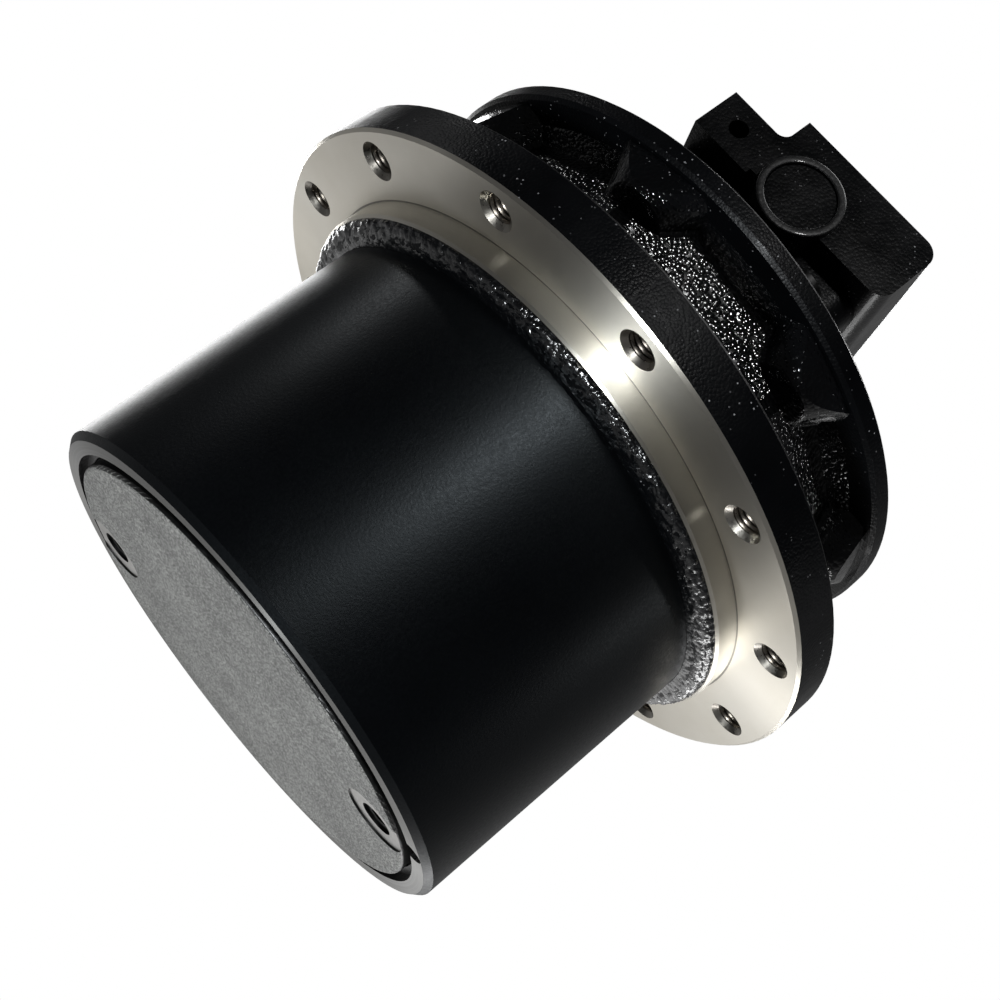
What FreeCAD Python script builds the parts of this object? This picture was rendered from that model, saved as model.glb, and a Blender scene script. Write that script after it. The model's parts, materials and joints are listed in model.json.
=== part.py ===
import FreeCAD, Part
import math
import os

# Excavator final drive: a two-stage planetary hub turned by an axial piston motor.
# Millimetres. Z is the rotation axis and points towards the motor.
# The origin is the centre of the sprocket bolt circle, on the sprocket flange's face.
# X is the normal of the port block's wide side, which carries the spool cap.

os.makedirs("parts", exist_ok=True)
V = FreeCAD.Vector
AXIS = V(0, 0, 1)

# Driving sizes of the rotating housing
barrel_radius = 105.0
barrel_length = 140.5
end_chamfer = 2.5
flange_radius = 145.0
flange_thickness = 19.5
flange_chamfer = 1.2
pilot_radius = 115.5
pilot_length = 10.0
shoulder_radius = 114.0
shoulder_length = 4.5
sprocket_pcd_radius = 132.0
sprocket_bolt_count = 12
sprocket_first_angle = 9.7
m14_tap_radius = 6.0
m14_countersink_radius = 8.0
cover_bore_radius = 96.5
cover_bore_depth = 14.5
race_shoulder_radius = 82.5

# Gears: one ring gear for both stages, equal suns and equal planets
gear_module = 3.0
pressure_angle = math.radians(25.0)
ring_teeth = 60
sun_teeth = 12
planet_teeth = 24
flank_backlash = 0.1
root_factor = 1.25
planet_count = 3
centre_distance = gear_module * (sun_teeth + planet_teeth) / 2
ring_pitch_radius = gear_module * ring_teeth / 2
ring_tip_radius = ring_pitch_radius - gear_module
ring_root_radius = ring_pitch_radius + gear_module * root_factor
first_stage_angle = 0.0
second_stage_angle = 60.0

# Running clearances
face_gap = 1.0
film_gap = 0.02
pin_clearance = 0.05

# Levels along the axis, counted from the sprocket flange's face
end_level = -barrel_length
bore_floor_level = end_level + cover_bore_depth
race_width = 19.0
race_gap = 4.0
race_two_back = -12.0
race_two_front = race_two_back - race_width
race_one_back = race_two_front - race_gap
race_one_front = race_one_back - race_width
nut_thickness = 6.0
spindle_front = race_one_front - nut_thickness
teeth_back = race_one_front - 3.0

# The two stages share the room between the end cover and the fixed spindle
cover_gap = 4.0
stage_gap = 3.0
spindle_gap = 2.0
carrier_thickness = 8.0
stage_room = spindle_front - spindle_gap - bore_floor_level - cover_gap
gear_room = stage_room - face_gap - carrier_thickness - stage_gap
planet_one_width = 0.375 * gear_room
planet_two_width = gear_room - planet_one_width
planet_one_front = bore_floor_level + cover_gap
planet_one_back = planet_one_front + planet_one_width
carrier_front = planet_one_back + face_gap
carrier_back = carrier_front + carrier_thickness
planet_two_front = carrier_back + stage_gap
planet_two_back = planet_two_front + planet_two_width

# Main bearings
lock_nut_wall = 14.0
lock_nut_slot_depth = 9.0
lock_nut_slot_width = 8.0
journal_radius = 66.0
race_outer_radius = 86.5
ball_pitch_radius = (journal_radius + race_outer_radius) / 2
ball_radius = 6.5
balls_per_row = 18
race_ball_gap = 0.3
cage_pocket_gap = 0.2
land_height = 3.6

# Floating seal
seal_bore_radius = 93.0
seal_ring_inner = 76.0
seal_ring_outer = 84.0
seal_ring_length = 9.0
seal_face_level = 1.0
toric_offset = 3.5
toric_width = 4.5
toric_squeeze = 0.6
skirt_radius = 101.5
cup_wall = 7.5

# End cover and its retaining ring
cover_disc_radius = 96.4
cover_disc_thickness = 8.0
cover_boss_radius = 92.5
cover_proud = 1.5
cover_boss_height = cover_bore_depth - cover_disc_thickness + cover_proud
cover_edge_round = 1.6
cover_groove_offset = 2.5
o_ring_depth = 2.6
o_ring_width = 3.4
retainer_wire = 2.4
retainer_depth = 2.0
retainer_gap_angle = 14.0
plug_circle_radius = 80.0
plug_angles = (-110.0, 70.0)
plug_radius = 7.0
spot_face_radius = 14.0
spot_face_depth = 0.8

# Motor casing
rim_radius = 123.5
rim_back = 75.0
rim_thickness = 9.2
casing_front = flange_thickness + face_gap
casing_collar_radius = 117.0
casing_flat_radius = 103.0
casing_corner_radius = 110.0
casing_sides = 8
casing_flat_angle = 9.5
casing_flare_length = 14.0
rim_step = 12.0
frame_pcd_radius = 107.0
frame_bolt_count = 8
frame_first_angle = 32.0
frame_boss_radius = 12.0
frame_boss_root_radius = 22.0
frame_boss_length = 17.0
frame_hole_depth = 25.0
frame_pilot_radius = 92.0
frame_pilot_length = 5.0
swash_seat_radius = 47.0
swash_seat_level = -14.0
brake_bore_radius = 52.0
brake_shoulder_level = 23.6
chamber_radius = 56.0
chamber_step_level = 46.0
casing_back = rim_back + frame_pilot_length

# Shaft and its bearings
stem_radius = 8.5
stem_sleeve_gap = 1.0
sun_hub_radius = 13.0
shaft_seal_radius = 14.0
shaft_seal_bore = 22.0
shaft_bearing_bore = 12.5
shaft_bearing_radius = 26.0
shaft_bearing_width = 15.0
shaft_ball_radius = 3.97
shaft_ball_count = 9
shaft_ball_circle = (shaft_bearing_bore + shaft_bearing_radius) / 2
shaft_race_land = 2.2
shaft_bearing_front = -42.0
rear_bush_wall = 3.5
rear_bush_length = 18.0
shaft_front = spindle_front + 2.0
stem_back = -38.0
block_seat_radius = 13.0

# Planet pins and the first stage's carrier
carrier_web_radius = centre_distance - 14.0
carrier_pad_wall = 8.0
first_pin_radius = 8.0
first_pin_front = planet_one_front - 3.0
second_pin_radius = 10.0
second_pin_front = planet_two_front - 2.2
second_pin_grip = 28.0
second_pin_back = spindle_front + second_pin_grip
circlip_thickness = 1.4
circlip_groove_depth = 0.9
circlip_height = 2.0
circlip_side_gap = 0.4

# Cylinder block
block_front = 18.0
block_back = 64.0
block_radius = 38.0
bore_count = 7
bore_pitch_radius = 25.0
cylinder_radius = 8.5
block_floor = 7.0
valve_plate_thickness = 5.0
valve_plate_radius = 37.0
kidney_half_width = 3.5
kidney_half_angle = 68.0

# Pistons, shoes and swash plate
swash_tilt = 10.0
swash_centre_level = 6.0
shoe_height = 7.0
shoe_base_radius = 8.5
shoe_base_thickness = 2.95
shoe_neck_radius = 6.2
shoe_neck_top = 2.0
piston_ball_radius = 5.0
socket_gap = 0.05
piston_neck_radius = 3.4
piston_body_start = 6.5
piston_length = 44.0
piston_clearance = 0.35
piston_hollow_radius = 5.0
piston_hollow_depth = 28.0
ball_circle_radius = 2 * bore_pitch_radius / (1 + math.cos(math.radians(swash_tilt)))
retainer_plate_radius = 34.0
retainer_plate_low = -4.0
retainer_plate_high = -1.5
retainer_hole_gap = 0.5
guide_radius = 16.0
guide_half_height = 8.0
guide_collar_radius = 15.0

# Parking brake
friction_disc_thickness = 2.4
friction_disc_radius = 47.0
steel_plate_thickness = 2.76
steel_plate_inner = 40.0
friction_disc_count = 2
brake_piston_gap = 0.03
brake_piston_inner = 41.0
brake_travel_room = 3.0

# Counterbalance spool
spool_clearance = 0.03
spool_half_length = 30.0
spool_land_length = 9.0
spool_waist_radius = 5.5
spool_spring_radius = 5.6
spool_spring_wire = 0.8
spool_spring_turns = 4
spring_wire_sides = 8

# Rear cover with the port block
cover_spigot_front = block_back + valve_plate_thickness + 0.5
rear_ring_low = cover_spigot_front + 5.0
rear_flange_radius = 84.0
rear_flange_thickness = 14.0
rear_bush_front = casing_back + 2.0
bush_hole_gap = 0.5
lower_half_width = 38.0
lower_low_y = -57.0
lower_high_y = 44.0
block_half_width = 50.0
block_low_y = -28.0
block_high_y = 49.0
port_block_front = 138.5
port_block_back = 175.5
block_corner_round = 8.0
ear_low_y = -57.0
ear_front = 135.7
ear_back = 160.0
ear_root_round = 5.0
ear_hole_y = -43.4
ear_hole_z = 148.0
pilot_port_radius = 4.4
pilot_port_depth = 14.0
cap_y = -4.7
cap_z = 144.8
cap_boss_radius = 19.0
cap_boss_height = 3.0
cap_radius = 15.5
cap_recess = 0.8
cap_depth = 12.0
spool_bore_radius = 9.0
main_port_radius = 9.3
main_port_depth = 18.0
main_port_x = 25.0
port_passage_radius = 5.0
drain_port_radius = 5.8
drain_port_depth = 13.0
drain_port_y = 34.0
drain_passage_radius = 3.5
cover_screw_count = 8
cover_screw_circle = 72.0
screw_first_angle = 22.5
m12_radius = 6.0
m12_head_radius = 9.0
m12_head_height = 12.0
m12_socket_depth = 6.0
m12_socket_radius = 5.8
m12_grip = 20.0


def export(shape, name):
    shape.exportStep("parts/" + name + ".step")


def disc(radius, low, high, x=0.0, y=0.0):
    return Part.makeCylinder(radius, high - low, V(x, y, low), AXIS)


def ring(inner, outer, low, high):
    return disc(outer, low, high).cut(disc(inner, low, high))


def cross_cylinder(radius, low, high, y, z):
    return Part.makeCylinder(radius, high - low, V(low, y, z), V(1, 0, 0))


def box(x_low, x_high, y_low, y_high, z_low, z_high):
    corner = V(x_low, y_low, z_low)
    return Part.makeBox(x_high - x_low, y_high - y_low, z_high - z_low, corner)


def polar(radius, angle_degrees):
    angle = math.radians(angle_degrees)
    return radius * math.cos(angle), radius * math.sin(angle)


def turned(shape, angle_degrees):
    copy = shape.copy()
    copy.rotate(V(0, 0, 0), AXIS, angle_degrees)
    return copy


def around(shape, count, first_angle=0.0):
    return [turned(shape, first_angle + 360.0 * i / count) for i in range(count)]


def revolve(points):
    vectors = [V(radius, 0, level) for radius, level in points]
    face = Part.Face(Part.makePolygon(vectors + [vectors[0]]))
    return face.revolve(V(0, 0, 0), AXIS, 360)


def rounded(shape, radius, keep):
    edges = [edge for edge in shape.Edges if keep(edge)]
    return shape.makeFillet(radius, edges)


def runs_along(direction):
    def test(edge):
        if not isinstance(edge.Curve, Part.Line):
            return False
        return abs(edge.Curve.Direction.dot(direction)) > 0.999
    return test


def circle_at(radius, level):
    def test(edge):
        if not isinstance(edge.Curve, Part.Circle):
            return False
        same_radius = abs(edge.Curve.Radius - radius) < 0.01
        return same_radius and abs(edge.Curve.Center.z - level) < 0.01
    return test


def involute(angle):
    return math.tan(angle) - angle


def gear_outline(teeth, inner_radius, outer_radius, extra_half_width):
    # The involute flank is followed at its foot, its pitch point and its tip.
    pitch_radius = gear_module * teeth / 2
    base_radius = pitch_radius * math.cos(pressure_angle)
    half_at_pitch = math.pi / (2 * teeth) + extra_half_width / pitch_radius

    def half_angle(radius):
        roll = math.acos(min(1.0, base_radius / radius))
        return half_at_pitch + involute(pressure_angle) - involute(roll)

    foot = max(base_radius, inner_radius)
    radii = [inner_radius, foot, pitch_radius, outer_radius]
    if foot - inner_radius < 0.5:
        radii = [inner_radius, pitch_radius, outer_radius]
    flank = [(radius, half_angle(max(radius, foot))) for radius in radii]
    outline = []
    for tooth in range(teeth):
        centre = 2 * math.pi * tooth / teeth
        rising = [(radius, centre - half) for radius, half in flank]
        falling = [(radius, centre + half) for radius, half in reversed(flank)]
        for radius, angle in rising + falling:
            outline.append(V(radius * math.cos(angle), radius * math.sin(angle), 0))
    return outline


def gear_prism(outline, low, high, first_angle=0.0):
    face = Part.Face(Part.makePolygon(outline + [outline[0]]))
    prism = face.extrude(V(0, 0, high - low))
    prism.rotate(V(0, 0, 0), AXIS, first_angle)
    prism.translate(V(0, 0, low))
    return prism


def external_gear(teeth, low, high, first_angle=0.0):
    pitch_radius = gear_module * teeth / 2
    root = pitch_radius - gear_module * root_factor
    outline = gear_outline(teeth, root, pitch_radius + gear_module, -flank_backlash)
    return gear_prism(outline, low, high, first_angle)


def ring_gear_space(low, high):
    outline = gear_outline(ring_teeth, ring_tip_radius, ring_root_radius, flank_backlash)
    return gear_prism(outline, low, high)


def reduction_housing():
    shoulder_level = -pilot_length - shoulder_length
    profile = [
        (cover_bore_radius, end_level),
        (barrel_radius - end_chamfer, end_level),
        (barrel_radius, end_level + end_chamfer),
        (barrel_radius, shoulder_level),
        (barrel_radius + 4.0, shoulder_level + 0.2),
        (shoulder_radius - 1.5, shoulder_level + 1.8),
        (shoulder_radius, -pilot_length),
        (pilot_radius - 1.0, -pilot_length),
        (pilot_radius, 1.0 - pilot_length),
        (pilot_radius, 0.0),
        (flange_radius - flange_chamfer, 0.0),
        (flange_radius, flange_chamfer),
        (flange_radius, flange_thickness - 1.5),
        (flange_radius - 1.5, flange_thickness),
        (skirt_radius, flange_thickness),
        (skirt_radius, 0.5),
        (seal_bore_radius, 0.5),
        (seal_bore_radius, race_two_back),
        (race_outer_radius, race_two_back),
        (race_outer_radius, race_two_front),
        (race_shoulder_radius, race_two_front),
        (race_shoulder_radius, race_one_back),
        (race_outer_radius, race_one_back),
        (race_outer_radius, teeth_back),
        (ring_tip_radius, teeth_back),
        (ring_tip_radius, bore_floor_level),
        (cover_bore_radius, bore_floor_level),
    ]
    body = revolve(profile)
    body = body.cut(ring_gear_space(bore_floor_level - 1.0, teeth_back - 4.0))
    groove = disc(cover_bore_radius + retainer_depth, retainer_front(), retainer_front() + retainer_wire)
    body = body.cut(groove)
    for i in range(sprocket_bolt_count):
        x, y = polar(sprocket_pcd_radius, sprocket_first_angle + 360.0 * i / sprocket_bolt_count)
        body = body.cut(disc(m14_tap_radius, -1.0, flange_thickness + 1.0, x, y))
        cone_depth = m14_countersink_radius - m14_tap_radius
        cone = Part.makeCone(m14_countersink_radius, m14_tap_radius, cone_depth, V(x, y, 0), AXIS)
        body = body.cut(cone)
    notch_x, notch_y = polar(cover_bore_radius + 1.0, plug_angles[1])
    notch = disc(5.0, end_level - 1.0, end_level + 3.0, notch_x, notch_y)
    return body.cut(notch)


def cover_front():
    return bore_floor_level - cover_disc_thickness


def retainer_front():
    return cover_front() - retainer_wire


def plug_position(angle):
    return polar(plug_circle_radius, angle)


def end_cover():
    front = cover_front()
    body = disc(cover_disc_radius, front, bore_floor_level)
    boss = disc(cover_boss_radius, front - cover_boss_height, front)
    boss = rounded(boss, cover_edge_round, circle_at(cover_boss_radius, front - cover_boss_height))
    body = body.fuse(boss).removeSplitter()
    body = body.cut(o_ring_groove(cover_disc_radius, front + cover_groove_offset))
    face = front - cover_boss_height
    for angle in plug_angles:
        x, y = plug_position(angle)
        body = body.cut(disc(spot_face_radius, face - 1.0, face + spot_face_depth, x, y))
        body = body.cut(disc(plug_radius, face - 1.0, bore_floor_level + 1.0, x, y))
    return body


def cover_retaining_ring():
    front = retainer_front()
    body = ring(cover_boss_radius + 0.7, cover_bore_radius + retainer_depth, front, front + retainer_wire)
    half = math.radians(retainer_gap_angle / 2)
    reach = cover_bore_radius + 10.0
    wedge_points = [V(0, 0, 0), V(reach, -reach * math.tan(half), 0), V(reach, reach * math.tan(half), 0)]
    wedge = Part.Face(Part.makePolygon(wedge_points + [wedge_points[0]])).extrude(V(0, 0, 10.0))
    wedge.translate(V(0, 0, front - 5.0))
    return body.cut(turned(wedge, plug_angles[1]))


def o_ring_groove(radius, low):
    return ring(radius - o_ring_depth, radius + 1.0, low, low + o_ring_width)


def rotating_o_rings():
    low = cover_front() + cover_groove_offset
    cover_ring = ring(cover_disc_radius - o_ring_depth, cover_bore_radius, low, low + o_ring_width)
    high = seal_face_level - toric_offset
    return Part.makeCompound([cover_ring, toric_ring(high - toric_width, high)])


def fixed_o_rings():
    low = seal_face_level + toric_offset
    rear = ring(chamber_radius - o_ring_depth, chamber_radius, rear_ring_low, rear_ring_low + o_ring_width)
    return Part.makeCompound([toric_ring(low, low + toric_width), rear])


def cover_plugs():
    face = cover_front() - cover_boss_height
    plugs = []
    for angle in plug_angles:
        x, y = plug_position(angle)
        plug = disc(plug_radius, face + 2.0, bore_floor_level, x, y)
        socket = hexagon_prism(4.0, face + 1.0, face + 7.0)
        socket.translate(V(x, y, 0))
        plugs.append(plug.cut(socket))
    return Part.makeCompound(plugs)


def hexagon_prism(corner_radius, low, high):
    corners = [V(*polar(corner_radius, 60.0 * i), low) for i in range(6)]
    face = Part.Face(Part.makePolygon(corners + [corners[0]]))
    return face.extrude(V(0, 0, high - low))


def outer_race(low, high):
    body = ring(ball_pitch_radius + land_height, race_outer_radius, low, high)
    groove = Part.makeTorus(ball_pitch_radius, ball_radius + race_ball_gap, V(0, 0, (low + high) / 2), AXIS)
    return body.cut(groove)


def inner_race(low, high):
    body = ring(journal_radius, ball_pitch_radius - land_height, low, high)
    groove = Part.makeTorus(ball_pitch_radius, ball_radius + race_ball_gap, V(0, 0, (low + high) / 2), AXIS)
    return body.cut(groove)


def caged_balls(pitch_radius, radius, count, middle, cage_half_height, cage_half_width):
    cage = ring(pitch_radius - cage_half_height, pitch_radius + cage_half_height,
                middle - cage_half_width, middle + cage_half_width)
    pocket_low = V(pitch_radius - radius, 0, middle)
    pocket = Part.makeCylinder(radius + cage_pocket_gap, 2 * radius, pocket_low, V(1, 0, 0))
    cage = cage.cut(around(pocket, count))
    ball = Part.makeSphere(radius, V(pitch_radius, 0, middle))
    return [cage] + around(ball, count)


def main_bearing_outer_races():
    front = outer_race(race_one_front, race_one_back)
    back = outer_race(race_two_front, race_two_back)
    return Part.makeCompound([front, back])


def main_bearing_inner_races():
    front = inner_race(race_one_front, race_one_back)
    back = inner_race(race_two_front, race_two_back)
    return Part.makeCompound([front, back])


def main_bearing_balls():
    solids = []
    for front in (race_one_front, race_two_front):
        middle = front + race_width / 2
        solids += caged_balls(ball_pitch_radius, ball_radius, balls_per_row, middle, 1.6, 8.0)
    return Part.makeCompound(solids)


def bearing_lock_nut():
    nut_radius = journal_radius + lock_nut_wall
    nut = ring(journal_radius, nut_radius, spindle_front, race_one_front)
    slot_inner = journal_radius + lock_nut_slot_depth
    slot_half_width = lock_nut_slot_width / 2
    slot = box(slot_inner, nut_radius + 1.0, -slot_half_width, slot_half_width,
               spindle_front - 1.0, race_one_front + 1.0)
    return nut.cut(around(slot, 4, 45.0))


def seal_ring(low, high, face_at_high):
    step = 3.0
    if face_at_high:
        points = [
            (seal_ring_inner, low),
            (seal_ring_outer - 3.0, low),
            (seal_ring_outer - 1.0, high - step),
            (seal_ring_outer + 3.0, high - step),
            (seal_ring_outer + 3.0, high),
            (seal_ring_inner, high),
        ]
    else:
        points = [
            (seal_ring_inner, high),
            (seal_ring_outer - 3.0, high),
            (seal_ring_outer - 1.0, low + step),
            (seal_ring_outer + 3.0, low + step),
            (seal_ring_outer + 3.0, low),
            (seal_ring_inner, low),
        ]
    return revolve(points)


def rotating_seal_ring():
    return seal_ring(seal_face_level - seal_ring_length, seal_face_level - film_gap, True)


def fixed_seal_ring():
    return seal_ring(seal_face_level, seal_face_level + seal_ring_length, False)


def toric_ring(low, high):
    return ring(seal_ring_outer - toric_squeeze, seal_bore_radius, low, high)


def polygon_prism(apothem, sides, first_angle, low, high):
    corner_radius = apothem / math.cos(math.pi / sides)
    corners = []
    for i in range(sides):
        x, y = polar(corner_radius, first_angle + (i + 0.5) * 360.0 / sides)
        corners.append(V(x, y, low))
    face = Part.Face(Part.makePolygon(corners + [corners[0]]))
    return face.extrude(V(0, 0, high - low))


def casing_outside():
    cup_outer = seal_bore_radius + cup_wall
    rim_front = rim_back - rim_thickness
    profile = [
        (0.0, spindle_front),
        (journal_radius, spindle_front),
        (journal_radius, race_two_back),
        (seal_ring_inner - 2.0, race_two_back),
        (seal_ring_inner - 2.0, seal_face_level + seal_ring_length + 1.0),
        (seal_bore_radius, seal_face_level + seal_ring_length + 1.0),
        (seal_bore_radius, seal_face_level + 1.0),
        (cup_outer, seal_face_level + 1.0),
        (cup_outer, casing_front),
        (casing_collar_radius, casing_front),
        (casing_collar_radius, casing_front + 5.0),
        (casing_flat_radius - 4.0, casing_front + casing_flare_length),
        (casing_flat_radius - 4.0, rim_front - 6.0),
        (rim_radius - rim_step, rim_front),
        (rim_radius - 1.5, rim_front),
        (rim_radius, rim_front + 1.5),
        (rim_radius, rim_back - 1.5),
        (rim_radius - 1.5, rim_back),
        (frame_pilot_radius, rim_back),
        (frame_pilot_radius, casing_back),
        (0.0, casing_back),
    ]
    body = revolve(profile)
    flats_front = casing_front + 4.0
    flats_back = rim_front + 1.0
    eight_sided = polygon_prism(casing_flat_radius, casing_sides, casing_flat_angle, flats_front, flats_back)
    trimmed = eight_sided.common(disc(casing_corner_radius, casing_front, rim_back))
    body = body.fuse(trimmed)
    boss_front = rim_front - frame_boss_length
    boss_foot = V(frame_pcd_radius, 0, boss_front)
    boss = Part.makeCone(frame_boss_radius, frame_boss_root_radius, frame_boss_length + 1.0, boss_foot, AXIS)
    boss = rounded(boss, 4.0, circle_at(frame_boss_radius, boss_front))
    boss = boss.common(disc(rim_radius - 3.0, boss_front - 1.0, rim_back))
    return body.fuse(around(boss, frame_bolt_count, frame_first_angle)).removeSplitter()


def motor_casing():
    body = casing_outside()
    body = body.cut(disc(swash_seat_radius, swash_seat_level, brake_shoulder_level + 1.0))
    body = body.cut(disc(brake_bore_radius, brake_shoulder_level, chamber_step_level + 1.0))
    body = body.cut(disc(chamber_radius, chamber_step_level, casing_back + 1.0))
    body = body.cut(disc(shaft_seal_bore, spindle_front - 1.0, shaft_bearing_front))
    bearing_back = shaft_bearing_front + shaft_bearing_width
    body = body.cut(disc(shaft_bearing_radius, shaft_bearing_front - 1.0, bearing_back))
    body = body.cut(disc(shaft_bearing_radius - 5.0, shaft_bearing_front, swash_seat_level + 1.0))
    pin_hole = disc(second_pin_radius, spindle_front - 1.0, second_pin_back, centre_distance, 0.0)
    body = body.cut(around(pin_hole, planet_count, second_stage_angle))
    hole = disc(m14_tap_radius, rim_back - frame_hole_depth, rim_back + 1.0, frame_pcd_radius, 0.0)
    body = body.cut(around(hole, frame_bolt_count, frame_first_angle))
    screw_hole = disc(m12_radius, casing_back - m12_grip, casing_back + 1.0, cover_screw_circle, 0.0)
    return body.cut(around(screw_hole, cover_screw_count, screw_first_angle))


def planet_pin(radius, low, high, gear_front):
    pin = disc(radius, low, high)
    groove_high = gear_front - circlip_side_gap
    groove = ring(radius - circlip_groove_depth, radius + 1.0, groove_high - circlip_thickness, groove_high)
    pin = pin.cut(groove)
    pin.translate(V(centre_distance, 0, 0))
    return pin


def circlip(radius, gear_front):
    high = gear_front - circlip_side_gap
    body = ring(radius - circlip_groove_depth, radius + circlip_height, high - circlip_thickness, high)
    gap = box(0.0, radius + 5.0, -2.0, 2.0, high - 5.0, high + 1.0)
    body = body.cut(gap)
    body.translate(V(centre_distance, 0, 0))
    return body


def first_stage_pins():
    pin = planet_pin(first_pin_radius, first_pin_front, carrier_back, planet_one_front)
    return Part.makeCompound(around(pin, planet_count, first_stage_angle))


def first_stage_circlips():
    clip = circlip(first_pin_radius, planet_one_front)
    return Part.makeCompound(around(clip, planet_count, first_stage_angle))


def second_stage_pins():
    pin = planet_pin(second_pin_radius, second_pin_front, second_pin_back, planet_two_front)
    return Part.makeCompound(around(pin, planet_count, second_stage_angle))


def second_stage_circlips():
    clip = circlip(second_pin_radius, planet_two_front)
    return Part.makeCompound(around(clip, planet_count, second_stage_angle))


def planet_gear(pin_radius, low, high, station_angle):
    gear = external_gear(planet_teeth, low, high)
    gear = gear.cut(disc(pin_radius + pin_clearance, low - 1.0, high + 1.0))
    gear.translate(V(*polar(centre_distance, station_angle), 0))
    return gear


def first_stage_carrier():
    pad_radius = first_pin_radius + carrier_pad_wall
    web = disc(carrier_web_radius, carrier_front, carrier_back)
    pad = disc(pad_radius, carrier_front, carrier_back, centre_distance, 0.0)
    arm = box(0.0, centre_distance, -pad_radius, pad_radius, carrier_front, carrier_back)
    body = web.fuse(around(pad, planet_count, first_stage_angle))
    body = body.fuse(around(arm, planet_count, first_stage_angle)).removeSplitter()
    pin_hole = disc(first_pin_radius, carrier_front - 1.0, carrier_back + 1.0, centre_distance, 0.0)
    body = body.cut(around(pin_hole, planet_count, first_stage_angle))
    return body.cut(disc(sun_hub_radius, carrier_front - 1.0, carrier_back + 1.0))


def second_stage_sun():
    half_pitch = 180.0 / sun_teeth
    gear = external_gear(sun_teeth, planet_two_front, planet_two_back, half_pitch)
    hub = disc(sun_hub_radius, carrier_front, planet_two_front + 1.0)
    body = gear.fuse(hub)
    return body.cut(disc(stem_radius + stem_sleeve_gap, carrier_front - 1.0, planet_two_back + 1.0))


def sun_shaft():
    half_pitch = 180.0 / sun_teeth
    gear = external_gear(sun_teeth, planet_one_front, planet_one_back, half_pitch)
    stem = disc(stem_radius, planet_one_back - 1.0, stem_back)
    return gear.fuse(stem)


def motor_shaft():
    bearing_back = shaft_bearing_front + shaft_bearing_width
    rear_end = rear_bush_front + rear_bush_length
    profile = [
        (stem_radius, shaft_front),
        (shaft_seal_radius, shaft_front),
        (shaft_seal_radius, shaft_bearing_front - 2.0),
        (shaft_bearing_bore, shaft_bearing_front - 2.0),
        (shaft_bearing_bore, bearing_back),
        (shaft_bearing_bore + 3.0, bearing_back),
        (shaft_bearing_bore + 3.0, bearing_back + 12.0),
        (block_seat_radius, bearing_back + 12.0),
        (block_seat_radius, block_back),
        (shaft_bearing_bore, block_back),
        (shaft_bearing_bore, rear_end - 1.0),
        (shaft_bearing_bore - 1.0, rear_end),
        (0.0, rear_end),
        (0.0, stem_back),
        (stem_radius, stem_back),
    ]
    return revolve(profile)


def shaft_oil_seal():
    return ring(shaft_seal_radius + film_gap, shaft_seal_bore, shaft_front + 2.0, shaft_bearing_front - 3.0)


def shaft_bearing_race(inner, outer):
    front = shaft_bearing_front
    back = front + shaft_bearing_width
    groove_centre = V(0, 0, (front + back) / 2)
    groove = Part.makeTorus(shaft_ball_circle, shaft_ball_radius + race_ball_gap, groove_centre, AXIS)
    return ring(inner, outer, front, back).cut(groove)


def shaft_bearing_outer_race():
    return shaft_bearing_race(shaft_ball_circle + shaft_race_land, shaft_bearing_radius)


def shaft_bearing_inner_race():
    return shaft_bearing_race(shaft_bearing_bore, shaft_ball_circle - shaft_race_land)


def shaft_bearing_balls():
    middle = shaft_bearing_front + shaft_bearing_width / 2
    half_width = 5.0
    solids = caged_balls(shaft_ball_circle, shaft_ball_radius, shaft_ball_count, middle, 1.0, half_width)
    return Part.makeCompound(solids)


def rear_shaft_bush():
    inner = shaft_bearing_bore + pin_clearance
    outer = shaft_bearing_bore + rear_bush_wall
    return ring(inner, outer, rear_bush_front, rear_bush_front + rear_bush_length)


def cylinder_block():
    body = disc(block_radius, block_front, block_back)
    body = body.cut(disc(block_seat_radius, block_front - 1.0, block_back + 1.0))
    floor = block_back - block_floor
    cylinder = disc(cylinder_radius, block_front - 1.0, floor, bore_pitch_radius, 0.0)
    window = disc(kidney_half_width, floor - 1.0, block_back + 1.0, bore_pitch_radius, 0.0)
    body = body.cut(around(cylinder, bore_count))
    return body.cut(around(window, bore_count))


def in_swash_frame(shape):
    # Pieces of the tilted group are drawn upright about their own centre first.
    placed = shape.copy()
    placed.rotate(V(0, 0, 0), V(0, 1, 0), swash_tilt)
    placed.translate(V(0, 0, swash_centre_level))
    return placed


def station_offset(number):
    x, y = polar(ball_circle_radius, 360.0 * number / bore_count)
    return V(x, y, 0)


def swash_plate():
    body = disc(swash_seat_radius, swash_seat_level, swash_centre_level + 10.0)
    reach = 2 * swash_seat_radius
    above = in_swash_frame(box(-reach, reach, -reach, reach, -shoe_height, reach))
    body = body.cut(above)
    return body.cut(disc(guide_radius + 1.5, swash_seat_level - 1.0, swash_centre_level + 10.0))


def shoe(number):
    base_low = film_gap - shoe_height
    base_high = base_low + shoe_base_thickness
    body = disc(shoe_base_radius, base_low, base_high)
    body = body.fuse(disc(shoe_neck_radius, base_high, shoe_neck_top))
    body = body.cut(Part.makeSphere(piston_ball_radius + socket_gap))
    body.translate(station_offset(number))
    return in_swash_frame(body)


def ball_centre(number):
    point = Part.Vertex(station_offset(number))
    return in_swash_frame(point).Point


def piston(number):
    ball = Part.makeSphere(piston_ball_radius)
    neck = disc(piston_neck_radius, 0.0, piston_body_start + 1.0)
    body = disc(cylinder_radius - piston_clearance, piston_body_start, piston_length)
    solid = ball.fuse([neck, body]).removeSplitter()
    solid = solid.cut(disc(piston_hollow_radius, piston_length - piston_hollow_depth, piston_length + 1.0))
    solid.translate(ball_centre(number))
    return solid


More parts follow.
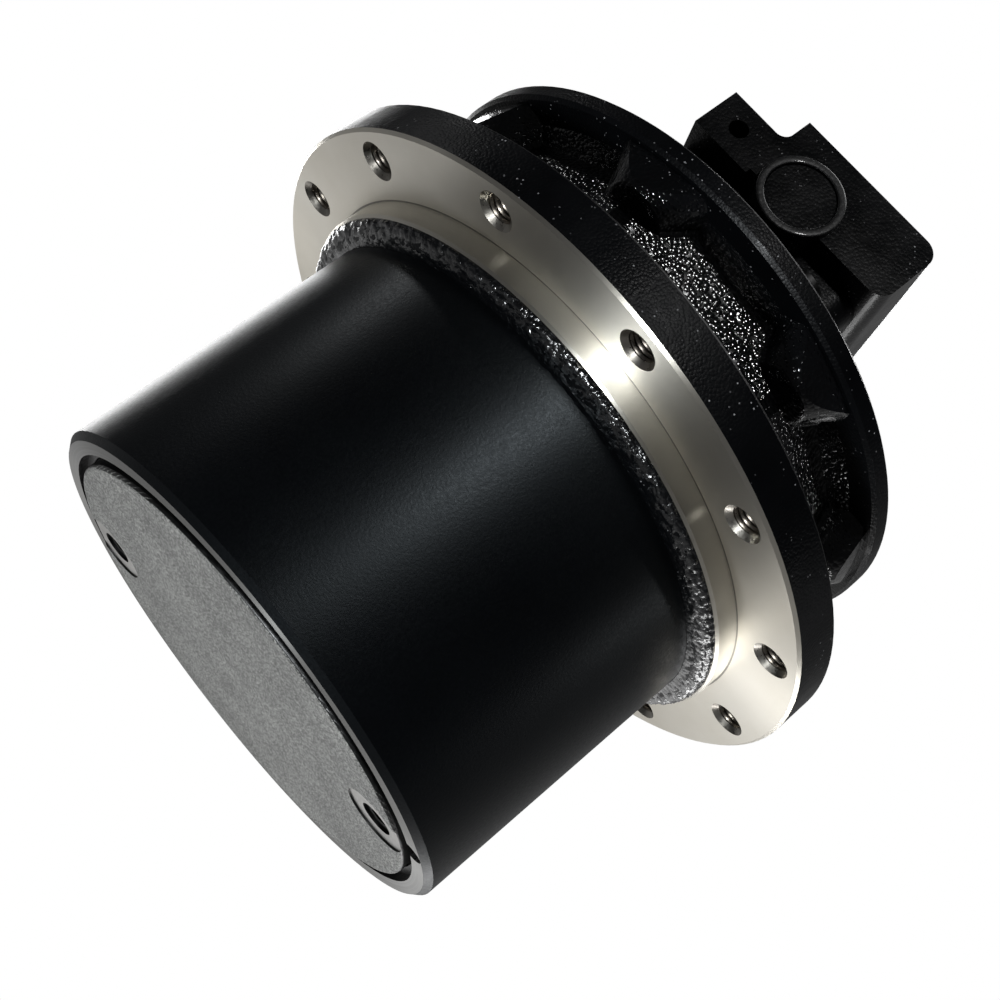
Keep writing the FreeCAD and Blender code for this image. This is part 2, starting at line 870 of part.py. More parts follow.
def retainer_plate():
    body = disc(retainer_plate_radius, retainer_plate_low, retainer_plate_high)
    hole = disc(shoe_neck_radius + retainer_hole_gap, -shoe_height, shoe_neck_top, ball_circle_radius, 0.0)
    body = body.cut(around(hole, bore_count))
    body = body.cut(Part.makeSphere(guide_radius + socket_gap))
    return in_swash_frame(body)


def retainer_ball_guide():
    centre = V(0, 0, swash_centre_level)
    low = swash_centre_level - guide_half_height
    high = swash_centre_level + guide_half_height
    band = Part.makeSphere(guide_radius, centre).common(disc(guide_radius + 1.0, low, high))
    body = band.fuse(disc(guide_collar_radius, swash_centre_level + 4.0, block_front))
    return body.cut(disc(block_seat_radius, low - 1.0, block_front + 1.0))


def kidney_slots(low, high):
    slots = []
    for side_angle in (0.0, 180.0):
        arc = ring(bore_pitch_radius - kidney_half_width, bore_pitch_radius + kidney_half_width, low, high)
        reach = 2 * bore_pitch_radius
        spread = math.radians(kidney_half_angle)
        far_x = reach * math.cos(spread)
        far_y = reach * math.sin(spread)
        points = [
            V(0, 0, low),
            V(far_x, -far_y, low),
            V(reach, -far_y, low),
            V(reach, far_y, low),
            V(far_x, far_y, low),
        ]
        sector = Part.Face(Part.makePolygon(points + [points[0]])).extrude(V(0, 0, high - low))
        slots.append(turned(arc.common(sector), side_angle))
    return slots


def valve_plate():
    body = ring(shaft_bearing_bore + 3.5, valve_plate_radius, block_back + film_gap, cover_spigot_front)
    return body.cut(kidney_slots(block_back - 1.0, cover_spigot_front + 1.0))


def brake_stack(first_low, thickness, inner, outer, count, pitch):
    plates = []
    for i in range(count):
        low = first_low + i * pitch
        plates.append(ring(inner, outer, low, low + thickness))
    return Part.makeCompound(plates)


def brake_pitch():
    return steel_plate_thickness + friction_disc_thickness + 2 * film_gap


def brake_steel_plates():
    count = friction_disc_count + 1
    return brake_stack(brake_shoulder_level, steel_plate_thickness, steel_plate_inner, brake_bore_radius,
                       count, brake_pitch())


def brake_friction_discs():
    first = brake_shoulder_level + steel_plate_thickness + film_gap
    return brake_stack(first, friction_disc_thickness, block_radius, friction_disc_radius,
                       friction_disc_count, brake_pitch())


def brake_piston_front():
    return brake_shoulder_level + friction_disc_count * brake_pitch() + steel_plate_thickness + film_gap


def brake_piston():
    small = brake_bore_radius - brake_piston_gap
    large = chamber_radius - brake_piston_gap
    front = brake_piston_front()
    shoulder = chamber_step_level + brake_travel_room
    back = block_back
    points = [(brake_piston_inner, front), (small, front), (small, shoulder), (large, shoulder),
              (large, back), (brake_piston_inner, back)]
    return revolve(points)


def brake_spring():
    # One conical spring washer presses the piston on to the discs.
    low = block_back
    high = cover_spigot_front
    inner = brake_piston_inner + 2.0
    outer = chamber_radius - 1.0
    points = [(inner, high - 2.0), (inner, high), (outer, low + 2.0), (outer, low)]
    return revolve(points)


def counterbalance_spool():
    full = spool_bore_radius - spool_clearance
    body = cross_cylinder(full, -spool_half_length, spool_half_length, cap_y, cap_z)
    waist_low = spool_half_length / 3 - spool_land_length / 2
    waist_high = spool_half_length - spool_land_length
    for side in (-1, 1):
        ends = sorted((side * waist_low, side * waist_high))
        outer = cross_cylinder(spool_bore_radius + 1.0, ends[0], ends[1], cap_y, cap_z)
        inner = cross_cylinder(spool_waist_radius, ends[0], ends[1], cap_y, cap_z)
        body = body.cut(outer.cut(inner))
    return body


def spool_springs():
    start = spool_half_length + spool_spring_wire
    length = spool_cap_inner() - spool_spring_wire - start
    helix = Part.makeLongHelix(length / spool_spring_turns, length, spool_spring_radius)
    corners = []
    for i in range(spring_wire_sides + 1):
        across, along = polar(spool_spring_wire, 360.0 * i / spring_wire_sides)
        corners.append(V(spool_spring_radius + across, 0, along))
    section = Part.makePolygon(corners)
    coil = Part.Wire(helix).makePipeShell([section], True, True)
    coil.rotate(V(0, 0, 0), V(0, 1, 0), 90)
    coil.translate(V(start, cap_y, cap_z))
    other = coil.copy()
    other.rotate(V(0, cap_y, cap_z), AXIS, 180)
    return Part.makeCompound([coil, other])


def spool_cap_inner():
    return block_half_width + cap_boss_height - cap_depth


def rear_cover():
    flange_back = casing_back + rear_flange_thickness
    body = disc(chamber_radius, cover_spigot_front, casing_back)
    body = body.fuse(disc(rear_flange_radius, casing_back, flange_back))
    lower = box(-lower_half_width, lower_half_width, lower_low_y, lower_high_y,
                flange_back - 1.0, port_block_front + 1.0)
    lower = rounded(lower, 12.0, runs_along(AXIS))
    main = box(-block_half_width, block_half_width, block_low_y, block_high_y,
               port_block_front, port_block_back)
    main = rounded(main, block_corner_round, edge_of_main_block)
    ear = box(-block_half_width, block_half_width, ear_low_y, block_low_y + 1.0, ear_front, ear_back)
    cap_boss_end = block_half_width + cap_boss_height
    cap_boss = cross_cylinder(cap_boss_radius, -cap_boss_end, cap_boss_end, cap_y, cap_z)
    port_block = rounded(main.fuse(ear).removeSplitter(), ear_root_round, edge_between_ear_and_block)
    body = body.fuse([lower, port_block, cap_boss]).removeSplitter()
    for side in (-1, 1):
        outer_face = side * (block_half_width + cap_boss_height)
        pocket = Part.makeCylinder(cap_radius, cap_depth, V(outer_face, cap_y, cap_z), V(-side, 0, 0))
        body = body.cut(pocket)
    body = body.cut(cross_cylinder(spool_bore_radius, -block_half_width, block_half_width, cap_y, cap_z))
    pilot_inner = block_half_width - pilot_port_depth
    pilot_outer = block_half_width + 1.0
    body = body.cut(cross_cylinder(pilot_port_radius, pilot_inner, pilot_outer, ear_hole_y, ear_hole_z))
    bush_back = rear_bush_front + rear_bush_length
    body = body.cut(disc(shaft_bearing_bore + bush_hole_gap, cover_spigot_front - 1.0, rear_bush_front))
    body = body.cut(disc(shaft_bearing_bore + rear_bush_wall, rear_bush_front, bush_back + 1.0))
    body = body.cut(kidney_slots(cover_spigot_front - 1.0, cover_spigot_front + 8.0))
    for side in (-1, 1):
        x = side * main_port_x
        port_floor = port_block_back - main_port_depth
        body = body.cut(disc(main_port_radius, port_floor, port_block_back + 1.0, x, cap_y))
        body = body.cut(disc(port_passage_radius, cap_z, port_block_back - 1.0, x, cap_y))
        body = body.cut(disc(kidney_half_width, cover_spigot_front, cap_z, side * bore_pitch_radius, 0.0))
    drain_floor = port_block_back - drain_port_depth
    body = body.cut(disc(drain_port_radius, drain_floor, port_block_back + 1.0, 0.0, drain_port_y))
    passage_back = port_block_back - 1.0
    body = body.cut(disc(drain_passage_radius, cover_spigot_front - 1.0, passage_back, 0.0, drain_port_y))
    body = body.cut(o_ring_groove(chamber_radius, rear_ring_low))
    screw_hole = disc(m12_radius, casing_back - 1.0, flange_back + 1.0, cover_screw_circle, 0.0)
    return body.cut(around(screw_hole, cover_screw_count, screw_first_angle))


def edge_of_main_block(edge):
    # The block is rounded along X at both edges of its far side.
    return runs_along(V(1, 0, 0))(edge) and edge.CenterOfMass.y > 0


def edge_between_ear_and_block(edge):
    if not runs_along(V(1, 0, 0))(edge):
        return False
    middle = edge.CenterOfMass
    return abs(middle.y - block_low_y) < 0.01 and abs(middle.z - ear_back) < 0.01


def cover_screws():
    seat = casing_back + rear_flange_thickness
    shank = disc(m12_radius, casing_back - m12_grip, seat)
    head = disc(m12_head_radius, seat, seat + m12_head_height)
    screw = shank.fuse(head).removeSplitter()
    socket_floor = seat + m12_head_height - m12_socket_depth
    screw = screw.cut(hexagon_prism(m12_socket_radius, socket_floor, seat + m12_head_height + 1.0))
    screw.translate(V(cover_screw_circle, 0, 0))
    return Part.makeCompound(around(screw, cover_screw_count, screw_first_angle))


def spool_caps():
    outer_face = block_half_width + cap_boss_height - cap_recess
    cap = cross_cylinder(cap_radius, spool_cap_inner(), outer_face, cap_y, cap_z)
    cap = rounded(cap, 0.6, lambda edge: abs(edge.CenterOfMass.x - outer_face) < 0.01)
    return Part.makeCompound([cap, cap.mirror(V(0, 0, 0), V(1, 0, 0))])


export(reduction_housing(), "reduction_housing")
export(end_cover(), "end_cover")
export(cover_retaining_ring(), "cover_retaining_ring")
export(cover_plugs(), "cover_plugs")
export(rotating_o_rings(), "rotating_o_rings")
export(rotating_seal_ring(), "rotating_seal_ring")
export(main_bearing_outer_races(), "main_bearing_outer_races")
export(main_bearing_inner_races(), "main_bearing_inner_races")
export(main_bearing_balls(), "main_bearing_balls")
export(bearing_lock_nut(), "bearing_lock_nut")
export(fixed_seal_ring(), "fixed_seal_ring")
export(fixed_o_rings(), "fixed_o_rings")
export(motor_casing(), "motor_casing")
export(first_stage_pins(), "first_stage_pins")
export(first_stage_circlips(), "first_stage_circlips")
export(second_stage_pins(), "second_stage_pins")
export(second_stage_circlips(), "second_stage_circlips")
export(first_stage_carrier(), "first_stage_carrier")
export(second_stage_sun(), "second_stage_sun")
export(sun_shaft(), "sun_shaft")
export(motor_shaft(), "motor_shaft")
export(shaft_oil_seal(), "shaft_oil_seal")
export(shaft_bearing_outer_race(), "shaft_bearing_outer_race")
export(shaft_bearing_inner_race(), "shaft_bearing_inner_race")
export(shaft_bearing_balls(), "shaft_bearing_balls")
export(rear_shaft_bush(), "rear_shaft_bush")
export(cylinder_block(), "cylinder_block")
export(swash_plate(), "swash_plate")
export(retainer_plate(), "retainer_plate")
export(retainer_ball_guide(), "retainer_ball_guide")
export(valve_plate(), "valve_plate")
export(brake_steel_plates(), "brake_steel_plates")
export(brake_friction_discs(), "brake_friction_discs")
export(brake_piston(), "brake_piston")
export(brake_spring(), "brake_spring")
export(counterbalance_spool(), "counterbalance_spool")
export(spool_springs(), "spool_springs")
export(spool_caps(), "spool_caps")
export(rear_cover(), "rear_cover")
export(cover_screws(), "cover_screws")
for number in range(planet_count):
    station = number * 360.0 / planet_count
    first = planet_gear(first_pin_radius, planet_one_front, planet_one_back, first_stage_angle + station)
    export(first, "first_stage_planet_%d" % (number + 1))
    second = planet_gear(second_pin_radius, planet_two_front, planet_two_back, second_stage_angle + station)
    export(second, "second_stage_planet_%d" % (number + 1))
for number in range(bore_count):
    export(piston(number), "piston_%d" % (number + 1))
    export(shoe(number), "piston_shoe_%d" % (number + 1))
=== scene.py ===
import bpy
import bmesh
import json
import math
from mathutils import Matrix, Vector, noise

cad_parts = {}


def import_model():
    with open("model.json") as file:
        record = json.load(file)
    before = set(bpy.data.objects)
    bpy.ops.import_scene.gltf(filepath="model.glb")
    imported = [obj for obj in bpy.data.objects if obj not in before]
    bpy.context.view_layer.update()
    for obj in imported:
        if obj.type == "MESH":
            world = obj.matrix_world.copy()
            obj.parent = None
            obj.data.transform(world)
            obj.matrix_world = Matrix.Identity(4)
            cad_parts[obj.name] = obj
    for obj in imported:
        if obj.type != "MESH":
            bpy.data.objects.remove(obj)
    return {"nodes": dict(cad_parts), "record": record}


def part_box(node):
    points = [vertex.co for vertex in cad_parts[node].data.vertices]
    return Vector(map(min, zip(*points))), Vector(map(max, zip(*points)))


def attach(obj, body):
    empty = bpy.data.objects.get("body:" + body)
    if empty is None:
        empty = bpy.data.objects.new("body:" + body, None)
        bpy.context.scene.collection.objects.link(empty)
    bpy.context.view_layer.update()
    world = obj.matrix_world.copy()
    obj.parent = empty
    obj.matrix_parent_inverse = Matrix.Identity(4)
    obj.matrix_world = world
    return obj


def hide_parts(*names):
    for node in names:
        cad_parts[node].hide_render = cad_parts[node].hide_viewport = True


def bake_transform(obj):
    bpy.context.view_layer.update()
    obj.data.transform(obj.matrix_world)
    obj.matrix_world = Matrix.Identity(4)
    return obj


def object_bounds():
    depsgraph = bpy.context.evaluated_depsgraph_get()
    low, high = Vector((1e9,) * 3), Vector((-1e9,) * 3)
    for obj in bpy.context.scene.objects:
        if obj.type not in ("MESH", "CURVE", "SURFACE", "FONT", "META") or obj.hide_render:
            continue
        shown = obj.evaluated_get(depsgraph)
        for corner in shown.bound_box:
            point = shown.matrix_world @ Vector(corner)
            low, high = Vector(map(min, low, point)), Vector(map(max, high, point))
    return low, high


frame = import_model()
nodes = frame["nodes"]
lo0, hi0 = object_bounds()

MM = 0.001

# Sizes of the visible forms, in millimetres as in the solid model
BARREL_RADIUS = 105.0
END_LEVEL = -140.5
COVER_FLOOR_LEVEL = -126.0
SPOT_FACE_LEVEL = -141.2
SHOULDER_LOW = -14.7
SHOULDER_HIGH = -10.0
SHOULDER_RADIUS = 114.4
PILOT_RADIUS = 115.5
# The middle of the painted shade line round the pilot's foot
PILOT_SHADE_LINE_MIDDLE = 115.9
FLANGE_CHAMFER = 1.2
FLANGE_THICKNESS = 19.5
BOLT_CIRCLE = 132.0
BOLT_COUNT = 12
BOLT_FIRST_ANGLE = 9.7
HOLE_RADIUS = 6.0
COUNTERSINK_DEPTH = 2.0
THREAD_PITCH = 2.0
THREAD_DEPTH = 0.75
THREAD_START = 2.2
THREAD_ROOT_HALF = 0.85
THREAD_CREST_HALF = 0.12
THREAD_SUNK = 0.02
RIM_FRONT = 65.8
RIM_INNER = 119.0
FLAT_RADIUS = 103.0
FLAT_COUNT = 8
FLAT_FIRST_ANGLE = 9.5
BOSS_CIRCLE = 107.0
BOSS_FRONT = 48.8
BOSS_RADIUS = 12.0
BOSS_ROOT_RADIUS = 22.0
ROOT_FILLET = 4.0
EDGE_FILLET = 3.0
CAP_Y = -4.7
CAP_Z = 144.8
CAP_FACE = 53.0
COLLAR_INNER = 15.6
COLLAR_OUTER = 18.9
COLLAR_HEIGHT = 0.45

# Radii that part the painted, turned and bored zones of the housing, and the slack round each zone
BORE_ZONE = 97.0
GROOVE_ZONE = 99.0
PAINT_ZONE = 101.0
BACK_ZONE = 103.0
SLACK = 0.1

# Steps along each small arc of the pieces
ARC_STEPS = 8

# The photograph's camera, in the object's frame
CAMERA_PLACE = (569.6, 118.8, -241.6)
CAMERA_RIGHT = (0.1623, 0.6540, 0.7389)
CAMERA_DOWN = (-0.3660, 0.7353, -0.5704)
CAMERA_FORWARD = (-0.9164, -0.1778, 0.3587)
FOCAL_PIXELS = 1580.2
IMAGE_PIXELS = 1000.0
SENSOR_MM = 36.0

RIGHT = Vector(CAMERA_RIGHT).normalized()
UP = -Vector(CAMERA_DOWN).normalized()
FORWARD = Vector(CAMERA_FORWARD).normalized()
CENTRE = (lo0 + hi0) / 2

# The studio glows from behind the object, below and to the left as the camera sees it
GLOW_DIRECTION = (-0.905, 0.05, -0.42)
WORLD_STRENGTH = 0.9
FLOOR_HALF_SIZE = 6.0
FLOOR_GAP = 0.0002


# Node helpers

def new_material(name):
    material = bpy.data.materials.new(name)
    material.use_nodes = True
    tree = material.node_tree
    shader = tree.nodes["Principled BSDF"]
    return material, tree, shader


def node(tree, kind, **settings):
    made = tree.nodes.new(kind)
    for key, value in settings.items():
        setattr(made, key, value)
    return made


def object_coordinates(tree):
    return node(tree, "ShaderNodeTexCoord").outputs["Object"]


def noise_texture(tree, vector, scale, detail=4.0, rough=0.55):
    made = node(tree, "ShaderNodeTexNoise")
    made.inputs["Scale"].default_value = scale
    made.inputs["Detail"].default_value = detail
    made.inputs["Roughness"].default_value = rough
    tree.links.new(vector, made.inputs["Vector"])
    return made.outputs["Fac"]


def voronoi_texture(tree, vector, scale):
    made = node(tree, "ShaderNodeTexVoronoi")
    made.inputs["Scale"].default_value = scale
    tree.links.new(vector, made.inputs["Vector"])
    return made.outputs["Distance"]


def ramp(tree, value, stops):
    made = node(tree, "ShaderNodeValToRGB")
    elements = made.color_ramp.elements
    while len(elements) < len(stops):
        elements.new(0.5)
    for element, (place, colour) in zip(elements, stops):
        element.position = place
        element.color = (*colour, 1.0)
    tree.links.new(value, made.inputs["Fac"])
    return made.outputs["Color"]


def span(tree, value, low, high, new_low, new_high):
    # Maps the range from low to high onto the range from new_low to new_high.
    made = node(tree, "ShaderNodeMapRange")
    made.inputs["From Min"].default_value = low
    made.inputs["From Max"].default_value = high
    made.inputs["To Min"].default_value = new_low
    made.inputs["To Max"].default_value = new_high
    tree.links.new(value, made.inputs["Value"])
    return made.outputs["Result"]


def maths(tree, operation, first, second=None, value=0.0):
    made = node(tree, "ShaderNodeMath", operation=operation)
    tree.links.new(first, made.inputs[0])
    if second is not None:
        tree.links.new(second, made.inputs[1])
    else:
        made.inputs[1].default_value = value
    return made.outputs[0]


def radius_and_level(tree):
    parts = node(tree, "ShaderNodeSeparateXYZ")
    tree.links.new(object_coordinates(tree), parts.inputs[0])
    square_x = maths(tree, "MULTIPLY", parts.outputs["X"], parts.outputs["X"])
    square_y = maths(tree, "MULTIPLY", parts.outputs["Y"], parts.outputs["Y"])
    total = maths(tree, "ADD", square_x, square_y)
    return maths(tree, "SQRT", total, value=0.0), parts.outputs["Z"]


def bump(tree, shader, height, strength, distance, below=None):
    # Lays one layer of relief over the layer below it.
    made = node(tree, "ShaderNodeBump")
    made.inputs["Strength"].default_value = strength
    made.inputs["Distance"].default_value = distance
    tree.links.new(height, made.inputs["Height"])
    if below is not None:
        tree.links.new(below, made.inputs["Normal"])
    tree.links.new(made.outputs["Normal"], shader.inputs["Normal"])
    return made.outputs["Normal"]


# Materials

def satin_paint():
    # The barrel: smooth satin black with a fine orange peel.
    material, tree, shader = new_material("satin_black_paint")
    place = object_coordinates(tree)
    cloud = noise_texture(tree, place, 18.0, 3.0)
    tone = ramp(tree, cloud, [(0.3, (0.0010, 0.0012, 0.0016)), (0.7, (0.0022, 0.0026, 0.0032))])
    tree.links.new(tone, shader.inputs["Base Color"])
    fine = noise_texture(tree, place, 900.0, 2.0)
    tree.links.new(span(tree, fine, 0.3, 0.7, 0.33, 0.41), shader.inputs["Roughness"])
    shader.inputs["Specular IOR Level"].default_value = 0.22
    shader.inputs["Specular Tint"].default_value = (0.82, 0.93, 1.0, 1.0)
    peel = noise_texture(tree, place, 950.0, 3.0)
    bump(tree, shader, peel, 0.3, 0.00018)
    return material


def cast_paint(name, lumps_at, lump_height, beads_at, bead_height, rough, gloss, dust_and_glints):
    # Gloss black paint over a sand casting: lumps, a stipple of small domes, and pale specks that are
    # partly dust and partly painted glints.
    material, tree, shader = new_material(name)
    place = object_coordinates(tree)
    cloud = noise_texture(tree, place, 25.0, 5.0)
    tone = ramp(tree, cloud, [(0.35, (0.0012, 0.0014, 0.0018)), (0.75, (0.0032, 0.0036, 0.0044))])
    # Pale specks in the colour are partly dust and partly painted glints.
    speck = voronoi_texture(tree, place, 420.0)
    dust_and_glint_specks = span(tree, speck, dust_and_glints, dust_and_glints * 0.5, 0.0, 1.0)
    few = span(tree, noise_texture(tree, place, 70.0, 2.0), 0.5, 0.62, 0.0, 1.0)
    amount = maths(tree, "MULTIPLY", dust_and_glint_specks, few)
    mixer = node(tree, "ShaderNodeMix", data_type="RGBA")
    tree.links.new(amount, mixer.inputs["Factor"])
    tree.links.new(tone, mixer.inputs["A"])
    mixer.inputs["B"].default_value = (0.35, 0.35, 0.36, 1.0)
    tree.links.new(mixer.outputs["Result"], shader.inputs["Base Color"])
    patches = noise_texture(tree, place, 45.0, 3.0)
    tree.links.new(span(tree, patches, 0.35, 0.65, *rough), shader.inputs["Roughness"])
    shader.inputs["Specular IOR Level"].default_value = gloss
    shader.inputs["Coat Weight"].default_value = gloss
    shader.inputs["Coat Roughness"].default_value = 0.06
    shader.inputs["Coat IOR"].default_value = 1.3
    lumps = noise_texture(tree, place, lumps_at, 3.0)
    first = bump(tree, shader, lumps, 0.8, lump_height)
    away = voronoi_texture(tree, place, beads_at)
    domes = span(tree, maths(tree, "MULTIPLY", away, away), 0.0, 0.5, 1.0, 0.0)
    bump(tree, shader, domes, 1.0, bead_height, first)
    return material


def turned_steel(name, warm, dark, rough):
    # Bright turned face: fine rings round the axis and a warm cast.
    material, tree, shader = new_material(name)
    radius, level = radius_and_level(tree)
    place = object_coordinates(tree)
    combined = node(tree, "ShaderNodeCombineXYZ")
    tree.links.new(radius, combined.inputs["X"])
    tree.links.new(level, combined.inputs["Y"])
    rings = noise_texture(tree, combined.outputs[0], 2600.0, 3.0, 0.6)
    broad = noise_texture(tree, place, 14.0, 4.0)
    tone = ramp(tree, broad, [(0.3, dark), (0.7, warm)])
    # A fine line of painted shade runs round the foot of the pilot, in the corner where it meets the face
    # beyond it.
    folded = maths(tree, "PINGPONG", radius, value=PILOT_SHADE_LINE_MIDDLE * MM)
    line_edge = PILOT_RADIUS * MM
    pilot_foot_shade = span(tree, folded, line_edge, line_edge + 0.0001, 1.0, 0.35)
    mixer = node(tree, "ShaderNodeMix", data_type="RGBA", blend_type="MULTIPLY")
    mixer.inputs["Factor"].default_value = 1.0
    tree.links.new(tone, mixer.inputs["A"])
    tree.links.new(pilot_foot_shade, mixer.inputs["B"])
    tree.links.new(mixer.outputs["Result"], shader.inputs["Base Color"])
    shader.inputs["Metallic"].default_value = 1.0
    shader.inputs["Anisotropic"].default_value = 0.95
    shader.inputs["Anisotropic Rotation"].default_value = 0.25
    tangent = node(tree, "ShaderNodeTangent", direction_type="RADIAL", axis="Z")
    tree.links.new(tangent.outputs[0], shader.inputs["Tangent"])
    tree.links.new(span(tree, rings, 0.3, 0.7, rough - 0.06, rough + 0.08), shader.inputs["Roughness"])
    bump(tree, shader, rings, 0.25, 0.00012)
    return material


def ground_steel(name, light, dark, rough):
    # Bare steel with a soft cloud of two tones.
    material, tree, shader = new_material(name)
    place = object_coordinates(tree)
    cloud = noise_texture(tree, place, 60.0, 4.0)
    tree.links.new(ramp(tree, cloud, [(0.3, dark), (0.7, light)]), shader.inputs["Base Color"])
    shader.inputs["Metallic"].default_value = 1.0
    fine = noise_texture(tree, place, 700.0, 2.0)
    tree.links.new(span(tree, fine, 0.3, 0.7, rough - 0.05, rough + 0.1), shader.inputs["Roughness"])
    bump(tree, shader, fine, 0.2, 0.0001)
    return material


def cover_iron():
    # The end cover: grey phosphated iron with a fine dark speckle.
    material, tree, shader = new_material("cover_iron")
    place = object_coordinates(tree)
    grain = noise_texture(tree, place, 1250.0, 4.0, 0.7)
    cloud = noise_texture(tree, place, 30.0, 4.0)
    tone = ramp(tree, grain, [
        (0.36, (0.06, 0.06, 0.059)),
        (0.5, (0.28, 0.28, 0.272)),
        (0.64, (0.68, 0.68, 0.66)),
    ])
    stain = ramp(tree, cloud, [(0.3, (0.72, 0.72, 0.71)), (0.7, (1.05, 1.05, 1.03))])
    mixer = node(tree, "ShaderNodeMix", data_type="RGBA", blend_type="MULTIPLY")
    mixer.inputs["Factor"].default_value = 1.0
    tree.links.new(tone, mixer.inputs["A"])
    tree.links.new(stain, mixer.inputs["B"])
    tree.links.new(mixer.outputs["Result"], shader.inputs["Base Color"])
    shader.inputs["Metallic"].default_value = 0.35
    tree.links.new(span(tree, grain, 0.3, 0.7, 0.50, 0.70), shader.inputs["Roughness"])
    bump(tree, shader, grain, 0.6, 0.0002)
    return material


def rubber():
    material, tree, shader = new_material("seal_rubber")
    place = object_coordinates(tree)
    cloud = noise_texture(tree, place, 90.0, 3.0)
    tone = ramp(tree, cloud, [(0.3, (0.010, 0.010, 0.010)), (0.7, (0.022, 0.022, 0.022))])
    tree.links.new(tone, shader.inputs["Base Color"])
    tree.links.new(span(tree, cloud, 0.3, 0.7, 0.55, 0.75), shader.inputs["Roughness"])
    return material


def bronze():
    material, tree, shader = new_material("bronze")
    place = object_coordinates(tree)
    cloud = noise_texture(tree, place, 70.0, 4.0)
    tone = ramp(tree, cloud, [(0.3, (0.42, 0.27, 0.12)), (0.7, (0.62, 0.42, 0.20))])
    tree.links.new(tone, shader.inputs["Base Color"])
    shader.inputs["Metallic"].default_value = 1.0
    fine = noise_texture(tree, place, 800.0, 2.0)
    tree.links.new(span(tree, fine, 0.3, 0.7, 0.25, 0.38), shader.inputs["Roughness"])
    return material


def floor_paint():
    # The floor is pale from above, glows a little, and lets a view from below it pass.
    material, tree, shader = new_material("studio_floor")
    place = object_coordinates(tree)
    cloud = noise_texture(tree, place, 3.0, 3.0)
    tone = ramp(tree, cloud, [(0.3, (0.58, 0.58, 0.58)), (0.7, (0.62, 0.62, 0.62))])
    tree.links.new(tone, shader.inputs["Base Color"])
    shader.inputs["Roughness"].default_value = 0.8
    shader.inputs["Emission Color"].default_value = (0.92, 0.92, 0.92, 1.0)
    shader.inputs["Emission Strength"].default_value = 0.45
    clear = node(tree, "ShaderNodeBsdfTransparent")
    side = node(tree, "ShaderNodeNewGeometry").outputs["Backfacing"]
    mixer = node(tree, "ShaderNodeMixShader")
    tree.links.new(side, mixer.inputs[0])
    tree.links.new(shader.outputs[0], mixer.inputs[1])
    tree.links.new(clear.outputs[0], mixer.inputs[2])
    output = tree.nodes["Material Output"]
    tree.links.new(mixer.outputs[0], output.inputs["Surface"])
    return material


SATIN = satin_paint()
ROUGH_CAST = cast_paint("rough_cast_paint", lumps_at=48.0, lump_height=0.0019, beads_at=520.0,
                        bead_height=0.00021, rough=(0.10, 0.18), gloss=0.75, dust_and_glints=0.12)
BEAD_CAST = cast_paint("bead_cast_paint", lumps_at=200.0, lump_height=0.0012, beads_at=420.0,
                       bead_height=0.00026, rough=(0.14, 0.26), gloss=0.95, dust_and_glints=0.12)
FINE_CAST = cast_paint("fine_cast_paint", lumps_at=120.0, lump_height=0.00007, beads_at=900.0,
                       bead_height=0.00006, rough=(0.32, 0.44), gloss=0.11, dust_and_glints=0.16)
BLOCK_PAINT = cast_paint("block_paint", lumps_at=30.0, lump_height=0.0003, beads_at=700.0,
                         bead_height=0.00005, rough=(0.24, 0.36), gloss=0.25, dust_and_glints=0.16)
COLLAR_PAINT = cast_paint("collar_paint", lumps_at=60.0, lump_height=0.0003, beads_at=600.0,
                          bead_height=0.00006, rough=(0.42, 0.52), gloss=0.60, dust_and_glints=0.10)
TURNED = turned_steel("turned_flange_face", (0.90, 0.87, 0.79), (0.76, 0.72, 0.63), 0.37)
END_STEEL = turned_steel("end_ring_steel", (0.27, 0.27, 0.26), (0.20, 0.20, 0.195), 0.36)
CUT_STEEL = ground_steel("countersink_steel", (0.42, 0.40, 0.36), (0.26, 0.24, 0.21), 0.30)
SPOT_STEEL = ground_steel("spot_face_steel", (0.55, 0.54, 0.52), (0.40, 0.395, 0.38), 0.40)
THREAD_STEEL = ground_steel("thread_steel", (0.28, 0.25, 0.21), (0.10, 0.09, 0.08), 0.30)
GEAR_STEEL = ground_steel("gear_steel", (0.62, 0.61, 0.59), (0.45, 0.44, 0.42), 0.28)
DARK_STEEL = ground_steel("dark_steel", (0.07, 0.07, 0.07), (0.03, 0.03, 0.03), 0.38)
COVER_IRON = cover_iron()
RUBBER = rubber()
BRONZE = bronze()


# Faces of one casting that are painted, turned or cut take different materials.

def assign_by_zone(node_name, materials, zone):
    mesh = nodes[node_name].data
    mesh.materials.clear()
    for material in materials:
        mesh.materials.append(material)
    for face in mesh.polygons:
        centre = face.center / MM
        face.material_index = materials.index(zone(centre, face.normal))


def near_bolt_hole(centre, reach):
    angle = math.degrees(math.atan2(centre.y, centre.x)) - BOLT_FIRST_ANGLE
    pitch = 360.0 / BOLT_COUNT
    off = math.radians(angle - round(angle / pitch) * pitch)
    radius = math.hypot(centre.x, centre.y)
    return math.hypot(radius * math.cos(off) - BOLT_CIRCLE, radius * math.sin(off)) < reach


